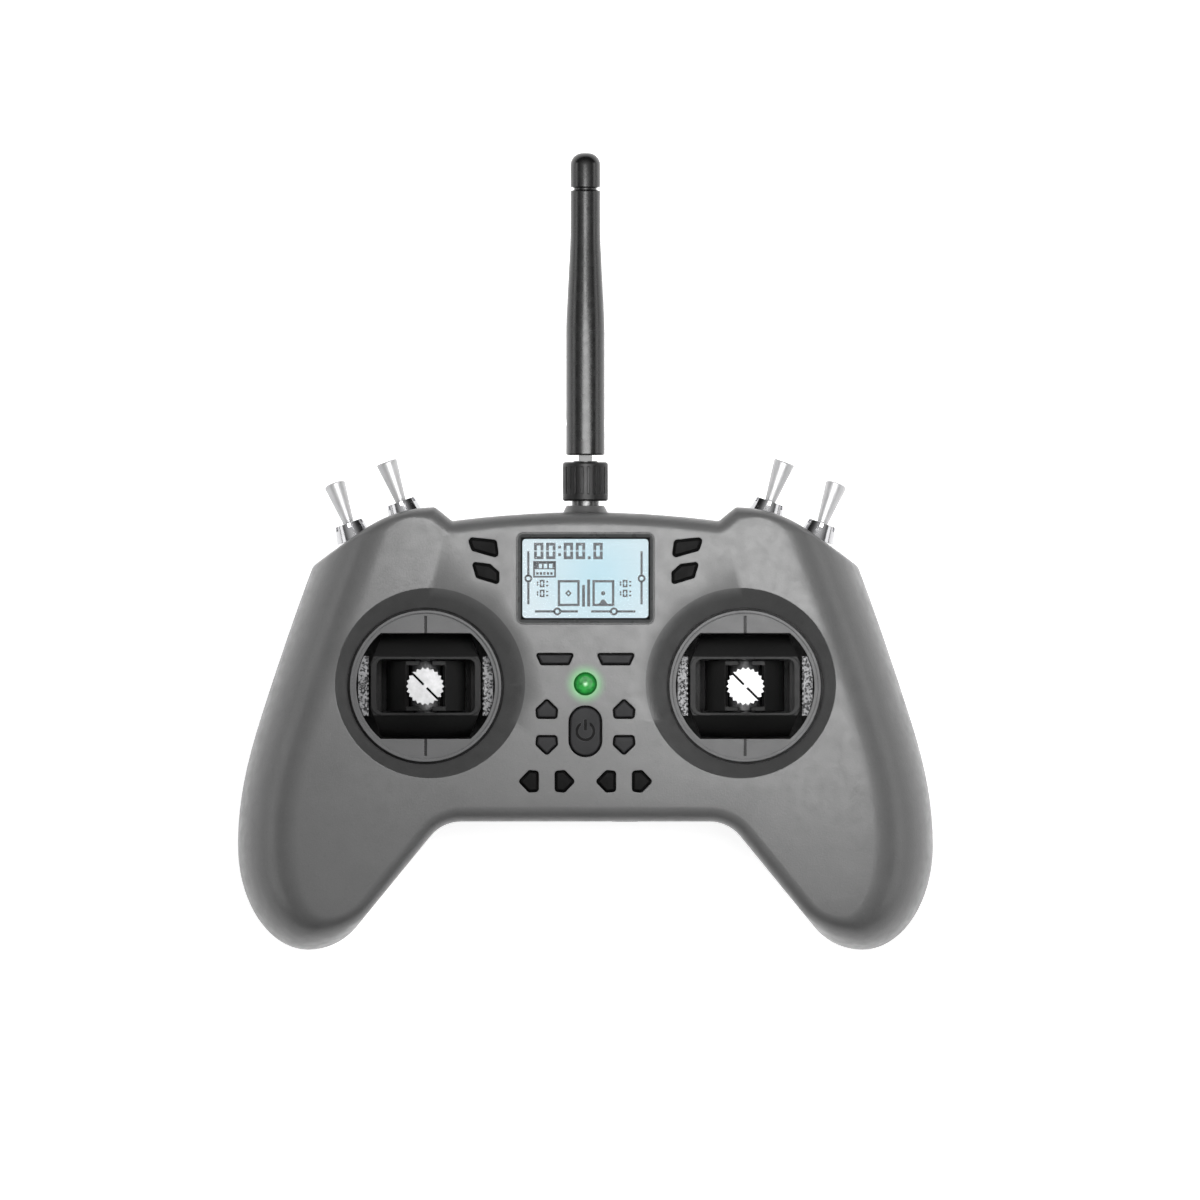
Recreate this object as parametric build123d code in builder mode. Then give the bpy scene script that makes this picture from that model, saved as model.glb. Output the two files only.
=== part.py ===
"""Handheld radio transmitter with two gimbal sticks, in millimetres.

It lies on its back: +Z comes out of the face, +Y points to the antenna and x = 0 is
the plane of symmetry. z = 0 is the flat of the housing on the back.
"""
import os
from math import asin, cos, radians, sin, sqrt, tan

from build123d import *

os.makedirs("parts", exist_ok=True)

# Shells
FACE_Z = 36.0           # top of the face
SPLIT_Z = 16.0          # parting plane of the two shells
BACK_Z = 4.0            # back of the rear shell beside its housings
WALL = 2.0
FACE_IN_Z = FACE_Z - WALL
BACK_IN_Z = BACK_Z + WALL
FRONT_DRAFT = (14.0, 8.0, 3.5)   # how far flanks, grip ends and other edges draw in
FRONT_EDGE = 4.0                 # height of the rounding along the other edges
REAR_DRAFT = (16.0, 10.0, 5.0)
REAR_EDGE = 6.0
PARTING_CHAMFER = 0.3

# Outline of the right half at the parting plane, and outward directions in degrees
TOP_Y = 49.6
NOTCH_LOW = (30.4, 47.6)
NOTCH_HIGH = (34.3, 50.8)
SHOULDER = (62.3, 37.2)
SHOULDER_BULGE = 1.9
FLANK = (72.95, 6.5)
WIDEST = (79.4, -26.5)
GRIP_END = (63.3, -50.3)
GRIP_RADIUS = 14.2
INNER_SLOPE = 50.8      # slope of the grip's inner edge
CROTCH_Y = -20.9
TOP_OUT = 82.5
NOTCH_OUT = 129.4
SHOULDER_OUT = (72.4, 55.1)
FLANK_OUT = (20.5, 15.6)

# Gimbals
GIMBAL = (36.4, 10.0)
PIVOT_Z = 20.5
DISH_RADIUS = 21.7
DISH_SHIFT = (-1.0, 0.66)
DISH_LOW_Z = 33.8
DISH_EXTRA = 1.0        # how far above the face the dish's cone runs on
BORE_RADIUS = 17.85
BOSS_RADIUS = 22.8
BOSS_LOW_Z = 31.8
EAR_RADIUS = 21.0
EAR_ANGLES = (45, 135, 225, 315)
BEZEL_RADIUS = 17.25
BEZEL_Z = (32.45, 33.6)
BEZEL_RIM = (16.65, 34.3)   # inner radius and height
MARK_SIZE = (0.56, 4.0, 0.7)   # index marks above and below the opening
OPENING_RADIUS = 15.8
OPENING_HALF = 12.05
CUP_RADIUS = 17.3
CUP_BORE = 16.2
CUP_Z = (8.0, 32.4)
FLOOR_Z = 9.5
FLANGE_Z = (30.25, 31.75)
BEARING_X = (13.4, 15.9)
BEARING_RADIUS = 2.98
DRUM_HALF = 12.6
DRUM_WALL = 1.2
DRUM = (                # its section across X: Y and height about the pivot
    (-6.7, 9.6), (6.7, 9.6), (9.4, 6.9), (11.6, 1.5),
    (11.6, -3.0), (-11.6, -3.0), (-11.6, 1.5), (-9.4, 6.9),
)
DRUM_PLAN = ((12.6, 5.0), (9.9, 11.8))   # corners of the drum seen from above
SPRING_Z = (9.5, 21.0)
SPRING_TURNS = 12
PIN_RADIUS = 1.47
AXLE_RADIUS = 1.5
HUB_RADIUS = 3.5
HUB_HALF = 5.6
SHAFT_RADIUS = 1.9
TIP_RADIUS = 4.35
TIP_Z = (41.0, 50.0)
TIP_TEETH = 22
TOOTH_DEPTH = 0.5
TIP_SLOT = (4.6, 0.5, 2.0)   # length, width and depth of each slot across the tip

# Screen
SCREEN = (0.0, 34.5)
SCREEN_OPENING = (31.4, 20.9)
WINDOW = (28.7, 18.0)
LCD_SIZE = (33.0, 22.4)
LCD_Z = (30.9, 32.9)

# Buttons
CAP_GAP = 0.45
CAP_TOP_Z = 36.5
FLANGE_GROW = 0.5
CAP_FLANGE_Z = (32.6, 33.7)
STEM_Z = 32.2
SWITCH_TOP_Z = 31.5
SIGN_RADIUS = 2.25       # standby symbol on the power button
SIGN_STROKE = 0.6
SIGN_DEPTH = 0.35
LED = (0.0, 10.5)
LED_RADIUS = 2.6

# Main board and what lies under it
BOARD_Z = (26.4, 28.0)
BOARD_HALF = 17.8
BOARD_Y = (-18.2, 45.0)
BOARD_SCREWS = ((15.4, 19.5), (15.4, 0.5))
CHIPS = (               # centre X and Y, width, depth and height
    (-7.0, 18.0, 9.0, 9.0, 1.4), (7.5, 20.0, 7.0, 7.0, 1.2), (-8.0, 2.0, 6.0, 8.0, 1.5),
    (6.0, 5.0, 5.0, 5.0, 1.2), (-20.0, 38.0, 8.0, 10.0, 1.6), (20.5, 38.0, 9.0, 9.0, 1.6),
)
BATTERY_Z = (13.6, 23.2)
USB = (-8.0, 24.7)      # X and Z
JACK = (9.0, 23.3)

# Back
BAY = ((-16.5, 16.5), (7.0, 39.0), (0.0, 12.0))
BAY_WALL = 2.1
COVER = ((-18.0, 18.0), (5.0, 41.0), (0.0, 1.6))
HOUSING = (42.0, 50.0)
HOUSING_CENTRE = (0.0, 19.0)
SWELL = (60.0, -22.0)
SWELL_TILT = 12.0
SHELL_SCREWS = ((31.0, 33.5), (22.5, -12.5), (60.0, -28.0))
HEAD_SEAT_Z = 9.0
RECESS_WIDTH = 0.45      # cross recess in the screw heads
SOUND_PITCH = 2.4       # the row of slots under the speaker
SOUND_Y = -11.0
SOUND_SLOT = (1.1, 8.0)

# Toggle switches: where their axes leave the shell
TOGGLES = {"outer": (52.9, 44.05), "inner": (41.0, 49.0)}
TOGGLE_Z = 25.0
TOGGLE_TILT = 20.0
TOGGLE_PIVOT = 2.2      # along the axis
TOGGLE_LENGTH = 10.7
TOGGLE_LEAN = {"outer": 12.0, "inner": 0.0}

# Antenna
ANTENNA_Z = 24.0
FOLD_Y = 70.0
NUT_Y = (52.2, 61.05)
WHIP_Y = 62.65
WHIP_RADIUS = 4.4
WHIP_TIP_RADIUS = 3.4
WHIP_TOP_Y = 131.6
FORK_SLOT = 3.2         # width of the slot that takes the knuckle's tongue
FORK_ROOF_Z = 27.0      # the slot is closed above this height and open below
FORK_END_Y = 73.5
TONGUE = (3.0, 5.5)     # across the pin, and along Z
TONGUE_RADIUS = TONGUE[1] / 2
PIN_LENGTH = 8.4
TAPER_Y = (93.0, 112.0)
GROOVE_Y = 123.4
GROOVE_RADIUS = 2.6
NUT_RADIUS = 5.15
NUT_RIBS = 22
NECK_RADIUS = 3.05      # thread of the antenna socket
PLUG = (8.6, 38.6)      # where the antenna lead meets the board

BASE = (Align.CENTER, Align.CENTER, Align.MIN)
SIDES = (-1, 1)
SIDE_NAMES = {-1: "left", 1: "right"}


# ---------------------------------------------------------------- helpers
def block(x, y, z, mode=Mode.ADD):
    """A box between limits on each axis."""
    with Locations(((x[0] + x[1]) / 2, (y[0] + y[1]) / 2, (z[0] + z[1]) / 2)):
        Box(x[1] - x[0], y[1] - y[0], z[1] - z[0], mode=mode)


def post(x, y, radius, z, mode=Mode.ADD):
    """An upright cylinder between two heights."""
    with Locations((x, y, z[0])):
        Cylinder(radius, z[1] - z[0], align=BASE, mode=mode)


def rod(plane, radius, reach, mode=Mode.ADD):
    """A cylinder along a plane's normal, between two distances from the plane."""
    with Locations(plane.offset(reach[0])):
        Cylinder(radius, reach[1] - reach[0], align=BASE, mode=mode)


def cone(plane, radii, reach, mode=Mode.ADD):
    """A cone along a plane's normal, between two distances from the plane."""
    with Locations(plane.offset(reach[0])):
        Cone(radii[0], radii[1], reach[1] - reach[0], align=BASE, mode=mode)


def rounded_plate(centre, size, corner, z, mode=Mode.ADD):
    """A plate with round corners between two heights."""
    with BuildSketch(Plane.XY.offset(z[0])) as shape:
        with Locations(centre):
            RectangleRounded(*size, corner)
    extrude(shape.sketch, amount=z[1] - z[0], mode=mode)


def disc(centre, z, radius):
    """A flat disc, as a section for a loft."""
    with BuildSketch(Plane.XY.offset(z)) as shape:
        with Locations(centre):
            Circle(radius)
    return shape.sketch


def finish(part, name):
    """Labels a finished part and writes it."""
    part.label = name
    export_step(part, f"parts/{name}.step")


# ---------------------------------------------------------------- shell form
def direction(angle):
    return cos(radians(angle)), sin(radians(angle))


def drawn_corner(corner, angle_a, inset_a, angle_b, inset_b):
    """A corner after the two edges that meet in it have moved inwards."""
    (ax, ay), (bx, by) = direction(angle_a), direction(angle_b)
    cross = ax * by - ay * bx
    return (
        corner[0] - (inset_a * by - inset_b * ay) / cross,
        corner[1] - (ax * inset_b - bx * inset_a) / cross,
    )


def half_outline(z, side, end, edge):
    """The right half of the outline, drawn in at the flank, grip end and other edges."""
    low = drawn_corner(NOTCH_LOW, TOP_OUT, edge, NOTCH_OUT, edge)
    high = drawn_corner(NOTCH_HIGH, NOTCH_OUT, edge, SHOULDER_OUT[0], edge)
    shoulder = drawn_corner(SHOULDER, SHOULDER_OUT[1], edge, FLANK_OUT[0], side)
    flank_x, flank_y = direction(FLANK_OUT[0])
    out_x, out_y = direction(FLANK_OUT[1])
    flank = (FLANK[0] - side * out_x, FLANK[1] - side * out_y)
    widest = (WIDEST[0] - side, WIDEST[1])
    grip_x = GRIP_END[0] - side / 3
    grip_y = GRIP_END[1] + end
    nx, ny = sin(radians(INNER_SLOPE)), cos(radians(INNER_SLOPE))
    radius = GRIP_RADIUS + (nx * (grip_x - GRIP_END[0]) + ny * end - edge) / (1 - ny)
    inner_end = (grip_x - radius * nx, grip_y + radius * (1 - ny))
    crotch_y = CROTCH_Y + edge
    crotch = (inner_end[0] - (crotch_y - inner_end[1]) / tan(radians(INNER_SLOPE)), crotch_y)
    corners = ((low, 1.2 + edge), (high, 1.2), (shoulder, 3.0), (crotch, 9.0 + edge))
    with BuildSketch(Plane.XY.offset(z)) as outline:
        with BuildLine():
            TangentArc((0, TOP_Y - edge), low, tangent=(1, 0))
            Line(low, high)
            SagittaArc(high, shoulder, SHOULDER_BULGE)
            Spline(shoulder, flank, widest, tangents=[(flank_y, -flank_x), (0, -1)])
            EllipticalCenterArc(
                (grip_x, WIDEST[1]), widest[0] - grip_x, WIDEST[1] - grip_y, 0, arc_size=-90
            )
            CenterArc((grip_x, grip_y + radius), radius, -90, -INNER_SLOPE)
            Polyline(inner_end, crotch, (0, crotch_y), (0, TOP_Y - edge))
        make_face()
        for corner, rounding in corners:
            fillet(outline.vertices().sort_by_distance(corner)[0], rounding)
    return outline.sketch


def draw_in(travel, height, width, wall):
    """Inset of an elliptic rounding after rising `travel` of its `height`."""
    share = min(max(travel / (height - wall), 0), 1)
    return width - (width - wall) * sqrt(1 - share * share)


def shell_form(cap_z, draft, edge_height, wall=0.0):
    """One shell's solid form from the parting plane to its cap, or its hollow."""
    height = abs(cap_z - SPLIT_Z)
    way = 1 if cap_z > SPLIT_Z else -1
    turn = height - edge_height
    turn_angle = asin(turn / (height - wall))
    flank_heights = [(height - wall) * sin(turn_angle * i / 4) for i in range(5)]
    edge_heights = [turn + (edge_height - wall) * sin(radians(18 * i)) for i in range(6)]
    with BuildPart() as form:
        for heights in (flank_heights, edge_heights):
            loft([
                half_outline(
                    SPLIT_Z + way * travel,
                    draw_in(travel, height, draft[0], wall),
                    draw_in(travel, height, draft[1], wall),
                    draw_in(travel - turn, edge_height, draft[2], wall),
                )
                for travel in heights
            ])
        mirror(about=Plane.YZ)
        if not wall:
            rim = form.edges().filter_by_position(Axis.Z, SPLIT_Z - 0.001, SPLIT_Z + 0.001)
            chamfer(rim, PARTING_CHAMFER)
    return form.part


# ---------------------------------------------------------------- buttons
def turned(points, angle, centre):
    """Points turned about the origin and moved to a centre."""
    c, s = direction(angle)
    return [(centre[0] + c * x - s * y, centre[1] + s * x + c * y) for x, y in points]


def mirrored(points):
    return [(-x, y) for x, y in reversed(points)]


def middle(points):
    return sum(x for x, _ in points) / len(points), sum(y for _, y in points) / len(points)


ARROW = [(2.4, 0), (-0.1, 2.6), (-2.4, 2.4), (-2.4, -2.4), (-0.1, -2.6)]
UPPER_KEY = [(-27.0, 44.0), (-25.9, 40.8), (-19.6, 39.0), (-20.2, 43.3)]
LOWER_KEY = [(-26.0, 38.4), (-24.9, 34.6), (-19.6, 33.0), (-19.6, 36.0), (-21.6, 37.8)]
BAR_KEY = [(-11.5, 17.55), (-10.2, 14.7), (-3.65, 14.7), (-2.4, 17.55)]
POWER_KEY = [(-3.85, -6.2), (3.85, -6.2), (3.85, 5.6), (-3.85, 5.6)]
TRIM_X, TRIM_UP_Y, TRIM_DOWN_Y = 8.8, 4.9, -3.55
ROW_Y = -11.7
ROW = ((-13.0, 180), (-4.6, 0), (4.6, 180), (13.0, 0))

BUTTONS = {
    "button_upper_left": (UPPER_KEY, 0.9),
    "button_upper_right": (mirrored(UPPER_KEY), 0.9),
    "button_lower_left": (LOWER_KEY, 0.7),
    "button_lower_right": (mirrored(LOWER_KEY), 0.7),
    "button_bar_left": (BAR_KEY, 0.6),
    "button_bar_right": (mirrored(BAR_KEY), 0.6),
    "button_power": (POWER_KEY, 3.8),
    "button_up_left": (turned(ARROW, 90, (-TRIM_X, TRIM_UP_Y)), 0.8),
    "button_up_right": (turned(ARROW, 90, (TRIM_X, TRIM_UP_Y)), 0.8),
    "button_down_left": (turned(ARROW, 270, (-TRIM_X, TRIM_DOWN_Y)), 0.8),
    "button_down_right": (turned(ARROW, 270, (TRIM_X, TRIM_DOWN_Y)), 0.8),
}
for number, (row_x, row_angle) in enumerate(ROW, 1):
    BUTTONS[f"button_row_{number}"] = (turned(ARROW, row_angle, (row_x, ROW_Y)), 0.8)


def key_outline(points, corner, z, grow=0.0):
    """A button's opening in the face, or an outline larger by `grow`."""
    with BuildSketch(Plane.XY.offset(z)) as outline:
        with BuildLine():
            Polyline(*points, close=True)
        make_face()
        fillet(outline.vertices(), corner)
        if grow:
            offset(amount=grow)
    return outline.sketch


# ---------------------------------------------------------------- toggle axes
def toggle_plane(row, side):
    """A plane across a toggle's axis where the axis leaves the shell, its X along Z."""
    x, y = TOGGLES[row]
    tilt = radians(TOGGLE_TILT)
    return Plane((side * x, y, TOGGLE_Z), x_dir=(0, 0, 1), z_dir=(side * sin(tilt), cos(tilt), 0))


TOGGLE_PLANES = [toggle_plane(row, side) for row in TOGGLES for side in SIDES]
ANTENNA_PLANE = Plane((0, 0, ANTENNA_Z), x_dir=(1, 0, 0), z_dir=(0, 1, 0))


# ---------------------------------------------------------------- front shell
with BuildPart() as front_shell:
    add(shell_form(FACE_Z, FRONT_DRAFT, FRONT_EDGE))
    add(shell_form(FACE_Z, FRONT_DRAFT, FRONT_EDGE, WALL), mode=Mode.SUBTRACT)
    dish_growth = (FACE_Z + DISH_EXTRA - DISH_LOW_Z) / (FACE_Z - DISH_LOW_Z)
    dish_radius = BORE_RADIUS + (DISH_RADIUS - BORE_RADIUS) * dish_growth
    dish_x, dish_y = DISH_SHIFT[0] * dish_growth, DISH_SHIFT[1] * dish_growth
    for side in SIDES:
        gx, gy = side * GIMBAL[0], GIMBAL[1]
        post(gx, gy, BOSS_RADIUS, (BOSS_LOW_Z, FACE_IN_Z + 0.2))
        loft([
            disc((gx, gy), DISH_LOW_Z, BORE_RADIUS),
            disc((gx + side * dish_x, gy + dish_y), FACE_Z + DISH_EXTRA, dish_radius),
        ], mode=Mode.SUBTRACT)
        post(gx, gy, BORE_RADIUS, (BOSS_LOW_Z, DISH_LOW_Z), mode=Mode.SUBTRACT)
        for angle in EAR_ANGLES:
            ex, ey = direction(angle)
            ear = (gx + EAR_RADIUS * ex, gy + EAR_RADIUS * ey)
            post(*ear, 0.85, (BOSS_LOW_Z, 33.6), mode=Mode.SUBTRACT)
        for x, y in SHELL_SCREWS:
            post(side * x, y, 3.0, (SPLIT_Z + 0.1, FACE_IN_Z + 0.3))
            post(side * x, y, 0.9, (SPLIT_Z, 30.0), mode=Mode.SUBTRACT)
        for x, y in BOARD_SCREWS:
            post(side * x, y, 2.2, (BOARD_Z[1] + 0.05, FACE_IN_Z + 0.3))
            post(side * x, y, 0.7, (BOARD_Z[1], 33.0), mode=Mode.SUBTRACT)
    rounded_plate(SCREEN, SCREEN_OPENING, 1.5, (FACE_IN_Z - 1, FACE_Z), Mode.SUBTRACT)
    for points, corner in BUTTONS.values():
        opening = key_outline(points, corner, FACE_IN_Z - 1)
        extrude(opening, amount=WALL + 1, mode=Mode.SUBTRACT)
    post(*LED, LED_RADIUS + 0.05, (FACE_IN_Z - 1, FACE_Z), mode=Mode.SUBTRACT)
    cone(ANTENNA_PLANE, (5.7, 4.3), (48.3, 51.1))
    rod(ANTENNA_PLANE, 3.1, (45.0, 51.2), mode=Mode.SUBTRACT)
    for plane in TOGGLE_PLANES:
        rod(plane, 4.5, (-0.6, 3.0), mode=Mode.SUBTRACT)
        rod(plane, 2.5, (-6.0, 0.0), mode=Mode.SUBTRACT)
    usb_plane = Plane((USB[0], CROTCH_Y - 1, USB[1]), x_dir=(1, 0, 0), z_dir=(0, 1, 0))
    with BuildSketch(usb_plane) as usb_opening:
        RectangleRounded(9.4, 3.6, 1.7)
    extrude(usb_opening.sketch, amount=4.0, mode=Mode.SUBTRACT)
    jack_plane = Plane((JACK[0], 0, JACK[1]), x_dir=(1, 0, 0), z_dir=(0, 1, 0))
    rod(jack_plane, 3.1, (CROTCH_Y - 1, CROTCH_Y + 3), mode=Mode.SUBTRACT)
finish(front_shell.part, "front_shell")


# ---------------------------------------------------------------- rear shell
def swell(side, z, semi_axes):
    """A flat ellipse under a grip, as a section for a loft."""
    with BuildSketch(Plane.XY.offset(z)) as shape:
        with Locations(Location((side * SWELL[0], SWELL[1]), side * SWELL_TILT)):
            Ellipse(*semi_axes)
    return shape.sketch


with BuildPart() as rear_shell:
    add(shell_form(BACK_Z, REAR_DRAFT, REAR_EDGE))
    rounded_plate(HOUSING_CENTRE, HOUSING, 5.0, (0.0, BACK_Z + 1))
    chamfer(rear_shell.faces().sort_by(Axis.Z)[0].edges(), 1.2)
    for side in SIDES:
        loft([swell(side, 0.0, (6.5, 13.0)), swell(side, 5.0, (10.0, 18.0))])
    add(shell_form(BACK_Z, REAR_DRAFT, REAR_EDGE, WALL), mode=Mode.SUBTRACT)
    rounded_plate(HOUSING_CENTRE, (38.0, 46.0), 3.0, (WALL, BACK_IN_Z + 0.1), Mode.SUBTRACT)
    for side in SIDES:
        loft([swell(side, 2.0, (5.2, 11.5)), swell(side, 6.2, (8.2, 15.8))], mode=Mode.SUBTRACT)
    (bay_x, bay_y, bay_z) = BAY
    block(
        (bay_x[0] - BAY_WALL, bay_x[1] + BAY_WALL),
        (bay_y[0] - BAY_WALL - 0.5, bay_y[1] + BAY_WALL + 0.5),
        (WALL - 0.5, bay_z[1] + 1.5),
    )
    block((-14, 14), (-8.0, -6.5), (BACK_Z + 0.5, bay_z[1] + 1.5))
    block(bay_x, bay_y, bay_z, mode=Mode.SUBTRACT)
    block(
        (COVER[0][0] - 0.1, COVER[0][1] + 0.1),
        (COVER[1][0] - 0.1, COVER[1][1] + 0.1),
        (-1.0, COVER[2][1] + 0.05),
        mode=Mode.SUBTRACT,
    )
    for side in SIDES:
        for x, y in SHELL_SCREWS:
            post(side * x, y, 3.0, (WALL / 2 if x > 50 else BACK_Z + 0.5, SPLIT_Z - 0.05))
            post(side * x, y, 2.15, (-1.0, HEAD_SEAT_Z), mode=Mode.SUBTRACT)
            post(side * x, y, 1.15, (HEAD_SEAT_Z, SPLIT_Z), mode=Mode.SUBTRACT)
    for slot in range(-3, 4):
        slot_at = (slot * SOUND_PITCH, SOUND_Y)
        rounded_plate(slot_at, SOUND_SLOT, 0.5, (BACK_Z - 1, BACK_IN_Z + 1), Mode.SUBTRACT)
finish(rear_shell.part, "rear_shell")


# ---------------------------------------------------------------- fasteners
def screw(x, y, head_radius, head_z, shank_radius, top_z):
    """A pan-head screw pointing up: head, shank and cross recess."""
    post(x, y, head_radius, head_z)
    post(x, y, shank_radius, (head_z[1], top_z))
    recess = 1.2 * head_radius
    for size in ((recess, RECESS_WIDTH), (RECESS_WIDTH, recess)):
        with Locations((x, y, head_z[0])):
            Box(*size, 1.0, mode=Mode.SUBTRACT)


with BuildPart() as shell_screws:
    for side in SIDES:
        for x, y in SHELL_SCREWS:
            screw(side * x, y, 2.0, (7.6, HEAD_SEAT_Z), 0.88, 28.0)
finish(shell_screws.part, "shell_screws")

with BuildPart() as board_screws:
    for side in SIDES:
        for x, y in BOARD_SCREWS:
            screw(side * x, y, 1.6, (25.3, BOARD_Z[0]), 0.68, 32.5)
finish(board_screws.part, "board_screws")

with BuildPart() as gimbal_screws:
    for side in SIDES:
        for angle in EAR_ANGLES:
            ex, ey = direction(angle)
            ear = (side * GIMBAL[0] + EAR_RADIUS * ex, GIMBAL[1] + EAR_RADIUS * ey)
            screw(*ear, 1.8, (29.0, FLANGE_Z[0]), 0.83, 33.3)
finish(gimbal_screws.part, "gimbal_screws")


# ---------------------------------------------------------------- gimbal housings
with BuildPart() as gimbal_bezels:
    for side in SIDES:
        gx, gy = side * GIMBAL[0], GIMBAL[1]
        post(gx, gy, BEZEL_RADIUS, (BEZEL_Z[0], BEZEL_RIM[1]))
        post(gx, gy, BEZEL_RIM[0], (BEZEL_Z[1], BEZEL_RIM[1]), mode=Mode.SUBTRACT)
        with BuildSketch(Plane.XY.offset(BEZEL_Z[0])) as opening:
            with Locations((gx, gy)):
                Circle(OPENING_RADIUS)
                Rectangle(40, 2 * OPENING_HALF, mode=Mode.INTERSECT)
        extrude(opening.sketch, amount=2, mode=Mode.SUBTRACT)
        for way in (-1, 1):
            with Locations((gx, gy + way * (OPENING_HALF + 1.9), BEZEL_Z[1])):
                Box(MARK_SIZE[0], MARK_SIZE[1], 2 * MARK_SIZE[2], mode=Mode.SUBTRACT)
finish(gimbal_bezels.part, "gimbal_bezels")

with BuildPart() as gimbal_cups:
    for side in SIDES:
        gx, gy = side * GIMBAL[0], GIMBAL[1]
        post(gx, gy, CUP_RADIUS, CUP_Z)
        post(gx, gy, 20.5, FLANGE_Z)
        for angle in EAR_ANGLES:
            ex, ey = direction(angle)
            post(gx + EAR_RADIUS * ex, gy + EAR_RADIUS * ey, 3.0, FLANGE_Z)
        post(gx, gy, CUP_BORE, (FLOOR_Z, CUP_Z[1]), mode=Mode.SUBTRACT)
        for angle in EAR_ANGLES:
            ex, ey = direction(angle)
            post(gx + EAR_RADIUS * ex, gy + EAR_RADIUS * ey, 1.1, FLANGE_Z, mode=Mode.SUBTRACT)
        for way in (-1, 1):
            with BuildSketch(Plane.XY.offset(15.0)) as carrier:
                with Locations((gx, gy)):
                    Circle(CUP_BORE + 0.4)
                with Locations((gx + way * 15.2, gy)):
                    Rectangle(4.0, 10.0, mode=Mode.INTERSECT)
            extrude(carrier.sketch, amount=11.0)
            across = Plane((gx, gy, PIVOT_Z), x_dir=(0, 1, 0), z_dir=(way, 0, 0))
            rod(across, BEARING_RADIUS + 0.02, (13.0, BEARING_X[1] + 0.1), mode=Mode.SUBTRACT)
            with BuildSketch(Plane.XY.offset(21.0)) as hanger:
                with Locations((gx, gy)):
                    Circle(CUP_BORE + 0.4)
                with Locations((gx, gy + way * 14.6)):
                    Rectangle(5.0, 3.6, mode=Mode.INTERSECT)
            extrude(hanger.sketch, amount=2.0)
finish(gimbal_cups.part, "gimbal_cups")

with BuildPart() as yoke_bearings:
    for side in SIDES:
        for way in (-1, 1):
            across = Plane((side * GIMBAL[0], GIMBAL[1], PIVOT_Z), x_dir=(0, 1, 0), z_dir=(way, 0, 0))
            rod(across, BEARING_RADIUS, BEARING_X)
            rod(across, 2.5, (BEARING_X[0], BEARING_X[0] + 0.3), mode=Mode.SUBTRACT)
            rod(across, 2.1, (BEARING_X[0] + 0.1, BEARING_X[0] + 0.3))
            rod(across, 1.5, BEARING_X, mode=Mode.SUBTRACT)
finish(yoke_bearings.part, "yoke_bearings")

with BuildPart() as bearing_caps:
    for side in SIDES:
        for way in (-1, 1):
            gx, gy = side * GIMBAL[0], GIMBAL[1]
            with BuildSketch(Plane.XY.offset(26.05)) as cap:
                with Locations((gx, gy)):
                    Circle(15.7)
                with Locations((gx + way * 14.2, gy)):
                    Rectangle(2.4, 13.6, mode=Mode.INTERSECT)
            extrude(cap.sketch, amount=4.4)
            for step in range(-5, 6):
                rib_y = gy + step * 1.15
                rib_x = gx + way * 13.0
                rib = (rib_x - 0.35, rib_x + 0.35), (rib_y - 0.3, rib_y + 0.3)
                block(*rib, (27.0, 31.0), Mode.SUBTRACT)
            post(gx + way * 14.5, gy, 0.75, (29.8, 31.0), mode=Mode.SUBTRACT)
            post(gx + way * 14.5, gy, 0.35, (29.4, 30.3))
finish(bearing_caps.part, "bearing_caps")

with BuildPart() as centering_springs:
    for side in SIDES:
        for way in (-1, 1):
            axis_y = GIMBAL[1] + way * 14.2
            plane = Plane((side * GIMBAL[0], axis_y, 0), x_dir=(1, 0, 0), z_dir=(0, -1, 0))
            pitch = (SPRING_Z[1] - SPRING_Z[0]) / SPRING_TURNS
            with BuildSketch(plane) as coil:
                with BuildLine():
                    for turn in range(SPRING_TURNS):
                        low = SPRING_Z[0] + turn * pitch
                        ThreePointArc((1.1, low), (1.5, low + pitch / 2), (1.1, low + pitch))
                    top, foot = SPRING_Z[1], SPRING_Z[0]
                    Polyline((1.1, top), (0.7, top), (0.7, foot), (1.1, foot))
                make_face()
            revolve(coil.sketch, axis=Axis((side * GIMBAL[0], axis_y, 0), (0, 0, 1)))
finish(centering_springs.part, "centering_springs")


# ---------------------------------------------------------------- gimbal moving parts
def drum_form(gx, gy, wall=0.0):
    """The drum's solid form, or its hollow when there is a wall."""
    section = Plane((gx - DRUM_HALF + wall, gy, PIVOT_Z), x_dir=(0, 1, 0), z_dir=(1, 0, 0))
    (wide_x, wide_y), (narrow_x, narrow_y) = DRUM_PLAN
    wide_x, narrow_x = wide_x - wall, narrow_x - wall
    plan = [(wide_x, wide_y), (narrow_x, narrow_y), (-narrow_x, narrow_y), (-wide_x, wide_y)]
    plan += [(-x, -y) for x, y in plan]
    with BuildPart() as form:
        with BuildSketch(section) as profile:
            with BuildLine():
                Polyline(*DRUM, close=True)
            make_face()
            if wall:
                offset(amount=-wall, kind=Kind.INTERSECTION)
        extrude(profile.sketch, amount=2 * (DRUM_HALF - wall))
        with BuildSketch(Plane.XY.offset(PIVOT_Z - 5)) as cut_plan:
            with BuildLine():
                Polyline(*turned(plan, 0, (gx, gy)), close=True)
            make_face()
        extrude(cut_plan.sketch, amount=20, mode=Mode.INTERSECT)
    return form.part


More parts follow.
